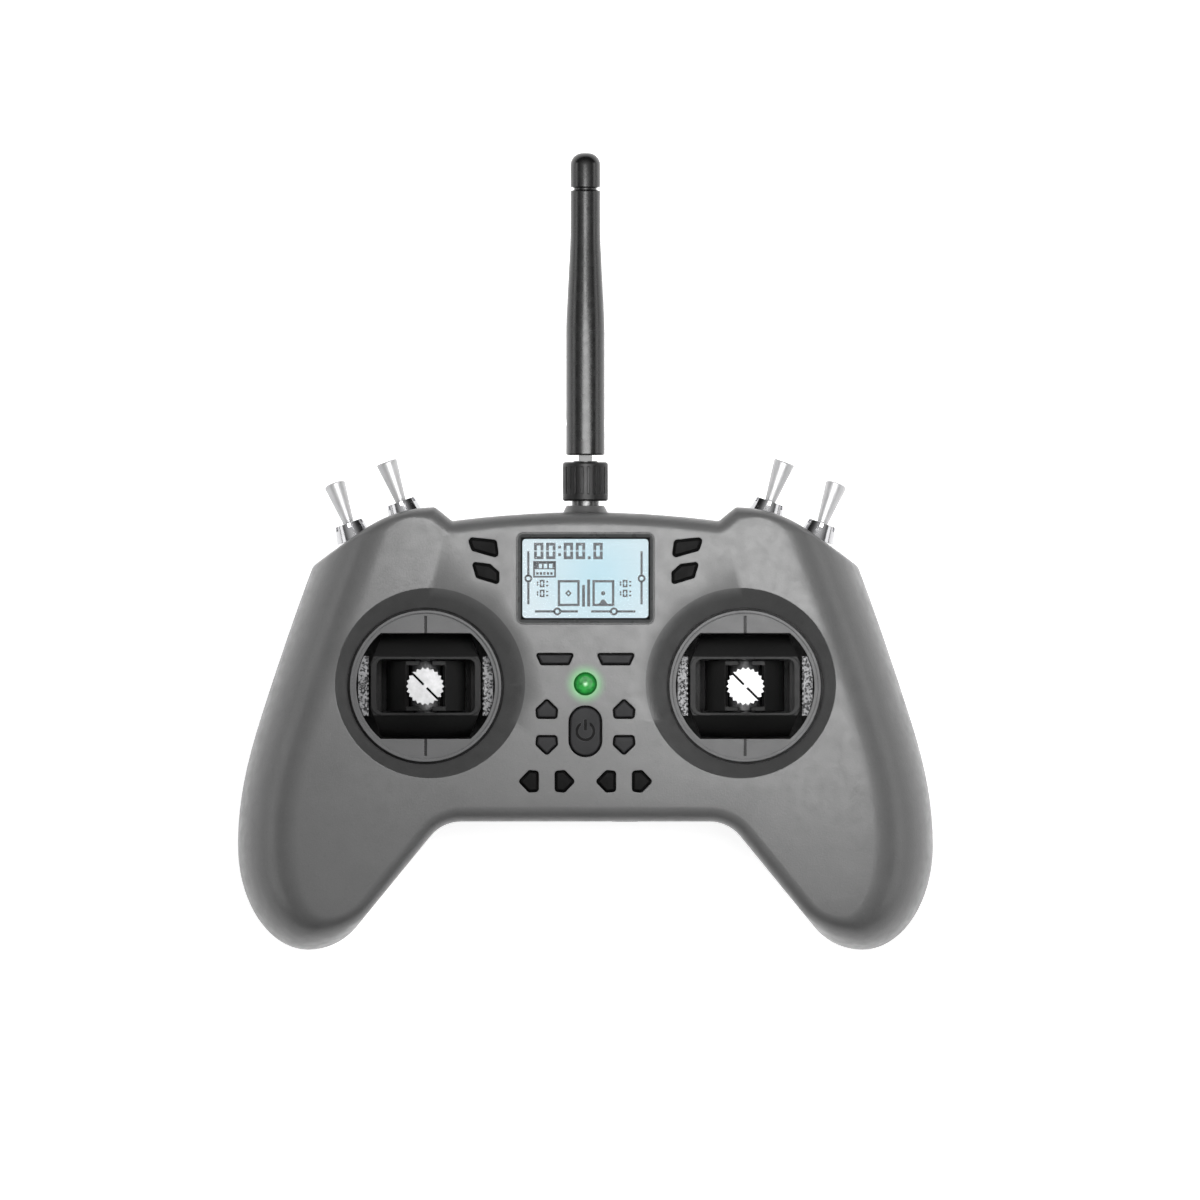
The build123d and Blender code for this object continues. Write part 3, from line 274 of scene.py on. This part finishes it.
# ---------------------------------------------------------------- kinds of material
def moulded(name, colour, rough, grain=0.45, depth=0.02, edge=0.25, wear_and_highlight=0.25,
            face=False, dark_fill_and_painted_shade_below=None, **sockets):
    """Moulded plastic: spark-eroded grain, faint flow marks, edges rubbed a little lighter (more on
    the buttons, as a painted highlight).
    """
    look = Look(name, colour, rough, **sockets)
    look.vary(size=9.0, spread=0.05)
    peaks = look.remap(look.noise(grain * 1.4, detail=1.0), 0.62, 0.75, 0.0, 0.16)
    look.tint(peaks, shade(colour, 1.5))
    pits = look.remap(look.noise(grain * 1.7, detail=1.0), 0.40, 0.28, 0.0, 0.16)
    look.tint(pits, shade(colour, 0.6))
    look.wear_and_highlight(radius=0.35, colour=shade(colour, 2.0, lift=0.02), strength=wear_and_highlight)
    if face:
        shade_dishes(look, colour)
    # Near-black below a height: painted shade on walls in gaps and grooves, and the dark fill of
    # the bezel's index marks
    if dark_fill_and_painted_shade_below:
        look.tint(look.below(dark_fill_and_painted_shade_below), shade(colour, 0.05))
    look.polish(size=2.5, low=rough - 0.06, high=rough + 0.06)
    look.round_edges(edge)
    look.relief(look.noise(grain, detail=3.0), depth)
    look.relief(look.noise(size=6.0), depth=0.02)
    if face:
        light_halo(look)
    return look.done()


def shade_dishes(look, colour):
    """Darkens the face inside the dishes round the sticks."""
    outer, inner = DISH_EDGE
    for side in (-1, 1):
        away = look.distance(side * DISH_X, DISH_Y)
        look.tint(look.remap(away, outer * MM, inner * MM, 0.0, 0.62), shade(colour, 0.12))


def light_halo(look):
    """The lamp's green light on the face round it."""
    inner, outer = HALO
    nearness = look.remap(look.distance(LED_X, LED_Y), inner * MM, outer * MM, 1.0, 0.0)
    strength = look.math("MULTIPLY", look.math("POWER", nearness, 2.2), 0.45)
    look.glow((0.10, 0.85, 0.16, 1.0), strength)


def metal(name, colour, rough, size=0.5, depth=0.004, speckle=0.0, metallic=1.0):
    """Machined metal: fine tool marks, uneven shine, rounded edges."""
    look = Look(name, colour, rough, Metallic=metallic)
    look.vary(size=3.0, spread=0.04)
    if speckle:
        dots = look.remap(look.noise(0.55, detail=1.0), 0.50, 0.60, 0.0, speckle)
        look.tint(dots, shade(colour, 0.15))
    look.wear_and_highlight(radius=0.25, colour=shade(colour, 1.2), strength=0.4)
    look.polish(size * 2, low=rough - 0.07, high=rough + 0.07)
    look.round_edges(0.15)
    look.relief(look.noise(size, detail=4.0), depth)
    return look.done()


def studio_floor():
    """The pale floor."""
    look = Look("studio_floor", (0.86, 0.86, 0.86), 0.75)
    look.vary(size=60.0, spread=0.01)
    look.relief(look.noise(1.5), depth=0.02)
    look.glow(WHITE, FLOOR_GLOW)
    return look.done()


def display_frame():
    """Grey plastic with a black inner edge round the window."""
    look = Look("frame_plastic", (0.055, 0.056, 0.056), 0.3, Specular_IOR_Level=0.24)
    look.vary(size=4.0, spread=0.1)
    look.wear_and_highlight(radius=0.3, colour=(0.12, 0.12, 0.12), strength=0.6)
    away = look.box_distance(SCREEN_X, SCREEN_Y, *WINDOW_HALF)
    look.tint(look.remap(away, 0.45 * MM, 0.30 * MM), (0.001, 0.001, 0.001))
    look.polish(size=2.0, low=0.24, high=0.36)
    look.round_edges(0.2)
    look.relief(look.noise(0.3, detail=3.0), depth=0.006)
    return look.done()


def stick_hub():
    """Dull steel with marks from turning."""
    look = Look("turned_steel", (0.13, 0.13, 0.132), 0.5, Metallic=0.45, Specular_IOR_Level=0.2)
    look.vary(size=1.5, spread=0.15)
    look.polish(size=1.0, low=0.42, high=0.58)
    look.round_edges(0.15)
    look.relief(look.noise(0.8, detail=3.0, stretch=(5.0, 0.35, 1.0)), depth=0.05)
    return look.done()


def stick_tip():
    """A bright cut face; everything below it is painted near-black shade, so the teeth and the slot
    read black.
    """
    look = Look("cut_aluminium", (0.28, 0.28, 0.283), 0.42, Metallic=1.0)
    look.vary(size=1.5, spread=0.12)
    # Painted near-black shade below the top face, over the teeth and in the slot
    look.tint(look.below(TIP_FLOOR, soft=0.05), (0.006, 0.006, 0.006))
    look.polish(size=1.0, low=0.34, high=0.48, stretch=(1.0, 1.0, 0.2))
    look.round_edges(0.12)
    look.relief(look.noise(0.3, detail=4.0, stretch=(3.0, 1.0, 1.0)), depth=0.003)
    return look.done()


def circuit_board():
    """Green mask over raised copper tracks."""
    look = Look("solder_mask", (0.015, 0.14, 0.06), 0.3)
    tracks = look.noise(1.1, detail=0.0, stretch=(4.0, 1.0, 1.0))
    look.tint(look.remap(tracks, 0.55, 0.57), (0.02, 0.24, 0.10))
    look.relief(tracks, depth=0.03)
    return look.done()


def battery_wrap():
    """Blue shrink wrap with soft folds."""
    look = Look("shrink_wrap", (0.02, 0.08, 0.32), 0.25)
    look.vary(size=8.0, spread=0.12)
    look.relief(look.noise(5.0, detail=3.0, stretch=(1.0, 3.0, 1.0)), depth=0.15)
    return look.done()


def backlit_panel():
    """The display's pale light, a little stronger near its middle."""
    look = Look("backlight", (0.02, 0.02, 0.02), 0.6)
    share = look.remap(look.distance(SCREEN_X + 3.0, SCREEN_Y + 1.0), 2 * MM, 16 * MM)
    colour = look.mix(share, (0.50, 0.71, 0.77, 1.0), (0.66, 0.76, 0.78, 1.0))
    dots = look.remap(look.noise(0.5, detail=1.0), 0.35, 0.65, 0.94, 1.0)
    look.glow(colour, dots)
    return look.done()


def display_ink():
    """The display's dark marks."""
    look = Look("display_ink", (0.004, 0.005, 0.006), 0.4)
    look.vary(size=0.6, spread=0.3)
    return look.done()


def lamp_lens():
    """A green lens with a pale core, facets and a dark rim."""
    look = Look("lamp_lens", (0.01, 0.10, 0.02), 0.12, Specular_IOR_Level=0.12)
    away = look.distance(LED_X, LED_Y)
    core = look.remap(away, 0.2 * MM, 0.75 * MM, 1.0, 0.0)
    inside = look.remap(away, 1.9 * MM, 2.3 * MM, 1.0, 0.04)
    facets = look.remap(look.noise(0.9, detail=1.0), 0.35, 0.65, 0.35, 1.1)
    colour = look.mix(core, (0.03, 0.50, 0.06, 1.0), (0.60, 0.90, 0.60, 1.0))
    strength = look.math("MULTIPLY", facets, look.remap(core, 0.0, 1.0, 0.40, 1.0))
    look.glow(colour, look.math("MULTIPLY", inside, strength))
    look.relief(look.noise(0.8), depth=0.02)
    return look.done()


def clear_glass():
    """A flat pane: clear straight on, with a soft mirror at a slant and faint smears."""
    material = bpy.data.materials.new("screen_glass")
    material.use_nodes = True
    tree = material.node_tree
    tree.nodes.clear()
    clear = add_node(tree, "ShaderNodeBsdfTransparent", {"Color": (0.97, 0.985, 1.0, 1.0)})
    place = add_node(tree, "ShaderNodeTexCoord", {}, output="Object")
    smears = add_node(tree, "ShaderNodeTexNoise", {"Vector": place, "Scale": 120.0})
    rough = add_node(tree, "ShaderNodeMapRange", {"Value": smears, "To Min": 0.02, "To Max": 0.12})
    gloss = add_node(tree, "ShaderNodeBsdfGlossy", {"Roughness": rough})
    share = add_node(tree, "ShaderNodeFresnel", {"IOR": 1.08})
    pane = add_node(tree, "ShaderNodeMixShader", {0: share, 1: clear, 2: gloss})
    tree.links.new(pane, tree.nodes.new("ShaderNodeOutputMaterial").inputs["Surface"])
    return material


# ---------------------------------------------------------------- CAD nodes
def smooth_shading():
    """A node group that joins the faces' shared corners and shades all but sharp edges smooth."""
    group = bpy.data.node_groups.new("smooth_by_angle", "GeometryNodeTree")
    group.interface.new_socket("Geometry", in_out="INPUT", socket_type="NodeSocketGeometry")
    group.interface.new_socket("Geometry", in_out="OUTPUT", socket_type="NodeSocketGeometry")
    start = add_node(group, "NodeGroupInput", {})
    plain = add_node(group, "GeometryNodeRemoveAttribute", {0: start, "Name": "custom_normal"})
    merged = add_node(group, "GeometryNodeMergeByDistance", {
        0: plain, "Distance": MERGE_DISTANCE * MM,
    })
    smooth = add_node(group, "GeometryNodeSetShadeSmooth", {0: merged, "Shade Smooth": True})
    angle = add_node(group, "GeometryNodeInputMeshEdgeAngle", {}, output="Unsigned Angle")
    sharp = add_node(group, "FunctionNodeCompare", {
        0: angle, 1: SHARP_ANGLE,
    }, data_type="FLOAT", operation="GREATER_THAN")
    shaded = add_node(group, "GeometryNodeSetShadeSmooth", {
        0: smooth, "Selection": sharp, "Shade Smooth": False,
    }, domain="EDGE")
    group.links.new(shaded, group.nodes.new("NodeGroupOutput").inputs[0])
    return group


def dress(material, *names):
    """Gives CAD nodes a material and smooth shading."""
    for name in names:
        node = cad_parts[name]
        for slot in node.material_slots:
            slot.material = material
        node.modifiers.new("smooth", "NODES").node_group = SMOOTH


def buttons(*places):
    return [f"button_{place}" for place in places]


# ---------------------------------------------------------------- pieces
def prisms(name, outlines, low, high, material, body, slot):
    """A piece made of flat outlines in millimetres, each raised between two heights."""
    mesh = bpy.data.meshes.new(name)
    shape = bmesh.new()
    for outline in outlines:
        rings = [
            [shape.verts.new((x * MM, y * MM, z * MM)) for x, y in outline] for z in (low, high)
        ]
        shape.faces.new(list(reversed(rings[0])))
        shape.faces.new(rings[1])
        count = len(outline)
        for i in range(count):
            j = (i + 1) % count
            shape.faces.new((rings[0][i], rings[0][j], rings[1][j], rings[1][i]))
    shape.to_mesh(mesh)
    shape.free()
    mesh.materials.append(material)
    piece = bpy.data.objects.new(name, mesh)
    bpy.context.scene.collection.objects.link(piece)
    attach(piece, body)


def put_floor():
    """A wide flat floor."""
    mesh = bpy.data.meshes.new("floor")
    corners = [(x * FLOOR_REACH, y * FLOOR_REACH, FLOOR_Z)
               for x, y in ((-1, -1), (1, -1), (1, 1), (-1, 1))]
    mesh.from_pydata(corners, [], [(0, 1, 2, 3)])
    mesh.materials.append(studio_floor())
    floor = bpy.data.objects.new("floor", mesh)
    bpy.context.scene.collection.objects.link(floor)


# ---------------------------------------------------------------- what the display shows
# Everything here is in millimetres from the centre of the display's window
def bar(x, y):
    """A rectangle from its two X and two Y values."""
    return [(x[0], y[0]), (x[1], y[0]), (x[1], y[1]), (x[0], y[1])]


def frame_bars(x, y, line):
    """The four sides of a box drawn with a line width."""
    return [
        bar(x, (y[0], y[0] + line)), bar(x, (y[1] - line, y[1])),
        bar((x[0], x[0] + line), (y[0] + line, y[1] - line)),
        bar((x[1] - line, x[1]), (y[0] + line, y[1] - line)),
    ]


def ring(x, y, inner, outer, count):
    """A ring as a chain of four-sided outlines."""
    turn = [(cos(2 * pi * i / count), sin(2 * pi * i / count)) for i in range(count + 1)]
    return [
        [(x + inner * a, y + inner * b), (x + outer * a, y + outer * b),
         (x + outer * c, y + outer * d), (x + inner * c, y + inner * d)]
        for (a, b), (c, d) in zip(turn, turn[1:])
    ]


def digit_bars(x, y, width, height, stroke, segments):
    """A figure of the outer six of seven segments, lettered a to f."""
    mid = y + height / 2
    right, top = x + width, y + height
    cut = stroke * 0.15
    places = {
        "a": bar((x, right), (top - stroke, top)),
        "b": bar((right - stroke, right), (mid + cut, top - stroke)),
        "c": bar((right - stroke, right), (y + stroke, mid - cut)),
        "d": bar((x, right), (y, y + stroke)),
        "e": bar((x, x + stroke), (y + stroke, mid - cut)),
        "f": bar((x, x + stroke), (mid + cut, top - stroke)),
    }
    return [places[letter] for letter in segments]


def timer():
    """The figures 00:00.0 along the top."""
    foot, width, height, stroke = 4.4, 2.15, 3.75, 0.66
    figure_step, dot_step = 2.75, 1.25
    dots = {":": (5.1, 6.8), ".": (foot,)}
    shapes = []
    x = -11.7
    for sign in "00:00.0":
        if sign in dots:
            shapes += [bar((x, x + stroke), (y, y + stroke)) for y in dots[sign]]
            x += dot_step
        else:
            shapes += digit_bars(x, foot, width, height, stroke, "abcdef")
            x += figure_step
    return shapes


def battery_box():
    """A box with a solid head, a charge outline in it, and a gauge of five blocks below."""
    shapes = frame_bars((-11.9, -6.7), (0.2, 4.0), 0.42)
    shapes += [bar((-11.58, -10.6), (2.1, 3.68)), bar((-7.5, -7.02), (2.1, 3.68))]
    shapes += [bar((-10.6, -7.5), (3.35, 3.68)), bar((-10.6, -7.5), (2.1, 2.35))]
    shapes += [bar((-9.9, -9.5), (2.35, 3.35)), bar((-8.7, -8.3), (2.35, 3.35))]
    return shapes + [bar((-11.2 + 0.8 * i, -10.65 + 0.8 * i), (0.85, 1.45)) for i in range(5)]


def stick_boxes():
    """Two boxes with a marker for each stick, and two bars between them."""
    box_y, line = (-6.3, -0.35), 0.55
    shapes = frame_bars((-6.3, -1.3), box_y, line)
    shapes += ring(-3.86, -3.36, 0.3, 0.78, 4)
    shapes += frame_bars((1.6, 6.6), box_y, line)
    shapes.append([(4.04 + 0.5 * cos(a * pi / 4), -3.36 + 0.5 * sin(a * pi / 4)) for a in range(8)])
    shapes.append([(3.1, -5.75), (5.0, -5.75), (4.35, -4.8), (3.75, -4.8)])
    return shapes + [bar((-0.75, -0.08), (-6.4, -1.5)), bar((0.4, 1.07), (-6.4, -0.2))]


def trim_lines():
    """Two upright and two level lines, each broken by a small ring."""
    half_line, gap, inner, outer, count = 0.26, 0.6, 0.45, 0.92, 12
    shapes = []
    for x in (-13.0, 12.8):
        across = (x - half_line, x + half_line)
        shapes += [bar(across, (-5.9, -gap)), bar(across, (gap, 6.2))]
        shapes += ring(x, 0.0, inner, outer, count)
    y = -7.5
    for low, high, x in ((-11.5, -1.7, -6.4), (1.3, 11.4, 6.5)):
        across = (y - half_line, y + half_line)
        shapes += [bar((low, x - gap), across), bar((x + gap, high), across)]
        shapes += ring(x, y, inner, outer, count)
    return shapes


def value_columns():
    """A 1 and a 0 with two dots, in two rows on either side."""
    width, height, stroke, step = 1.1, 1.7, 0.36, 1.4
    shapes = []
    for x in (-11.8, 7.1):
        for y in (-2.0, -4.25):
            shapes += digit_bars(x, y, width, height, stroke, "bc")
            shapes += digit_bars(x + step, y, width, height, stroke, "abcdef")
            for foot in (y + 0.2, y + 1.1):
                shapes.append(bar((x + 2.85, x + 3.35), (foot, foot + 0.35)))
    return shapes


def display_shapes():
    """All the marks, moved to the display's place."""
    shapes = timer() + battery_box() + stick_boxes() + trim_lines() + value_columns()
    return [[(SCREEN_X + x, SCREEN_Y + y) for x, y in shape] for shape in shapes]


# ---------------------------------------------------------------- build the scene
bpy.context.scene.view_settings.view_transform = "Standard"
put_camera()
put_world()
for panel in PANELS:
    put_light(*panel)
put_floor()

SMOOTH = smooth_shading()

# Housing and gimbals
GREY = (0.08, 0.08, 0.08)
dress(moulded("shell_face", GREY, 0.34, face=True), "front_shell")
dress(moulded("shell_back", GREY, 0.36), "rear_shell", "module_cover")
dress(
    moulded("bezel_plastic", (0.08, 0.08, 0.081), 0.38, grain=0.3, depth=0.01,
            dark_fill_and_painted_shade_below=BEZEL_FLOOR, Specular_IOR_Level=0.25),
    "gimbal_bezels",
)
dress(
    moulded("black_plastic", (0.014, 0.014, 0.014), 0.36, grain=0.3, depth=0.008,
            Specular_IOR_Level=0.12),
    "gimbal_cups", "yoke_left", "yoke_right", "stick_skirt_left", "stick_skirt_right",
    "speaker", "module_connector", "audio_jack", "switch_bodies", "board_chips", "lcd_carrier",
)
dress(
    metal("cast_aluminium", (0.15, 0.15, 0.153), 0.5, size=0.4, depth=0.05, speckle=0.95),
    "bearing_caps",
)
dress(stick_hub(), "stick_left", "stick_right")
dress(stick_tip(), "stick_tip_left", "stick_tip_right")

# Buttons, in two shades of rubber
# Strong edge lightening on the buttons: wear, and a painted highlight along the cap rims
dress(
    moulded("button_black", (0.003, 0.003, 0.003), 0.5, grain=0.35, depth=0.012, edge=0.1,
            wear_and_highlight=0.5, Specular_IOR_Level=0.06),
    *buttons("upper_left", "upper_right", "lower_left", "lower_right",
             "row_1", "row_2", "row_3", "row_4"),
)
dress(
    moulded("button_grey", (0.022, 0.022, 0.023), 0.48, grain=0.35, depth=0.012, edge=0.1,
            wear_and_highlight=0.9, dark_fill_and_painted_shade_below=KEY_FLOOR, Specular_IOR_Level=0.09),
    *buttons("bar_left", "bar_right", "power", "up_left", "up_right", "down_left", "down_right"),
)

# Antenna
dress(
    moulded("antenna_black", (0.005, 0.005, 0.005), 0.26, grain=0.4, depth=0.008,
            Specular_IOR_Level=0.6),
    "antenna_knuckle", "antenna_whip", "antenna_lead", "antenna_pin",
)
dress(
    moulded("nut_rubber", (0.006, 0.006, 0.006), 0.4, depth=0.01, Specular_IOR_Level=0.3),
    "antenna_nut",
)
dress(metal("dark_nickel", (0.10, 0.10, 0.10), 0.3, size=0.3), "sma_socket")

# Toggle switches, screws and other small metal
dress(
    metal("chrome", (0.46, 0.46, 0.47), 0.14, size=0.8, depth=0.001),
    "switch_bushings", "switch_nuts",
)
dress(
    metal("satin_chrome", (0.44, 0.44, 0.445), 0.42, size=0.8, depth=0.0005, metallic=0.6),
    "toggle_outer_left", "toggle_outer_right", "toggle_inner_left", "toggle_inner_right",
)
dress(
    metal("screw_steel", (0.42, 0.42, 0.43), 0.33, size=0.3),
    "shell_screws", "board_screws", "gimbal_screws", "yoke_bearings", "centering_springs",
    "tact_switches", "usb_c_socket",
)

# Board and battery
dress(circuit_board(), "main_board")
dress(battery_wrap(), "battery_pack")

# Display and lamp
dress(display_frame(), "screen_frame")
dress(backlit_panel(), "lcd_panel")
prisms("lcd_marks", display_shapes(), *MARK_HEIGHTS, display_ink(), SHELL, "black_plastic")
dress(clear_glass(), "screen_lens")
dress(lamp_lens(), "led_lens")
